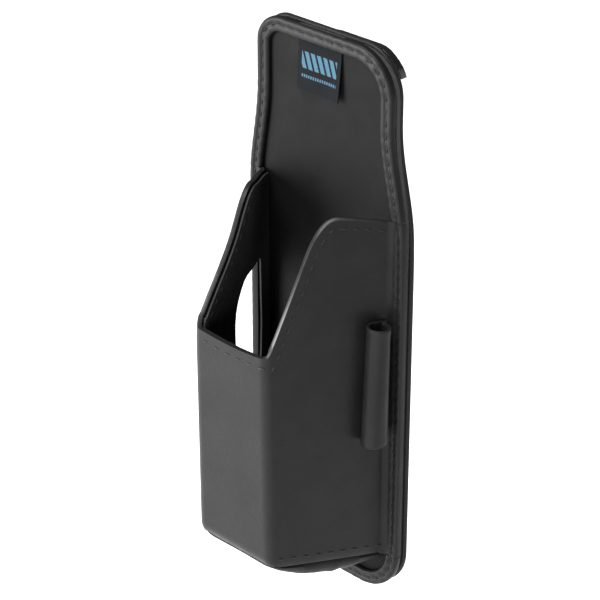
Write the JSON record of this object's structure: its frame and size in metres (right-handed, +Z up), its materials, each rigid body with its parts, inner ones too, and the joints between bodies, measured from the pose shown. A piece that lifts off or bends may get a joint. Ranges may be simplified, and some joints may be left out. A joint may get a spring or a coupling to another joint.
{
  "type": "belt holster",
  "caption": "Moulded black leather belt holster with an open-topped flared pocket, side window, stylus loop and a swivelling spring belt clip.",
  "frame": {"origin": "on the swivel axis, in the middle of the gap that the belt passes through", "axes": "+Z up along the holster as it hangs, -Y out from the wearer through the pocket's front, +X towards the wall that carries the stylus loop"},
  "size_m": [0.0704, 0.0637, 0.2],
  "materials": {
    "black_leather": "semi-matte smooth grain",
    "border_leather": "semi-matte smooth grain, padded",
    "smooth_lining_leather": "soft satin",
    "gusset_leather": "soft, creased",
    "pocket_lining": "brushed",
    "fibre_board": "matt pressed board",
    "stiffening_sheet": "matt sheet",
    "woven_label": "damask weave with a pale blue bar pattern",
    "thread": "bonded twisted thread",
    "plated_steel": "nickel plated",
    "spring_wire": "drawn wire",
    "nylon": "matt natural nylon",
    "clip_plastic": "gloss black moulding"
  },
  "bodies": {
    "clip": {"clip_base": "clip_plastic", "hinge_pin": "plated_steel", "clip_spring": "spring_wire"},
    "lever": {"clip_lever": "clip_plastic"},
    "holster": {"rear_panel": "black_leather", "stiffener_board": "fibre_board", "inner_panel": "smooth_lining_leather", "top_border": "border_leather", "bottom_border": "border_leather", "label_tab": "woven_label", "pocket_wrap": "black_leather", "wall_stiffener": "stiffening_sheet", "pocket_lining": "pocket_lining", "bottom_gusset": "gusset_leather", "stylus_loop": "black_leather", "edge_stitching": "thread", "mouth_stitching": "thread", "gusset_stitching": "thread", "clip_patch": "black_leather", "patch_stitching": "thread", "swivel_stud": "plated_steel", "spacer_washer": "nylon", "retaining_washer": "plated_steel"}
  },
  "joints": [
    {"name": "swivel", "type": "hinge", "parent": "clip", "child": "holster", "pos_m": [0, -0.0045, 0], "axis": [0, 1, 0], "continuous": true},
    {"name": "lever_pivot", "type": "hinge", "parent": "clip", "child": "lever", "pos_m": [0, -0.0002, 0.023], "axis": [1, 0, 0], "range_deg": [0, 14], "stiffness_Nm_per_rad": 0.5, "springref_deg": -17.19, "deforming": ["clip_spring"]}
  ]
}
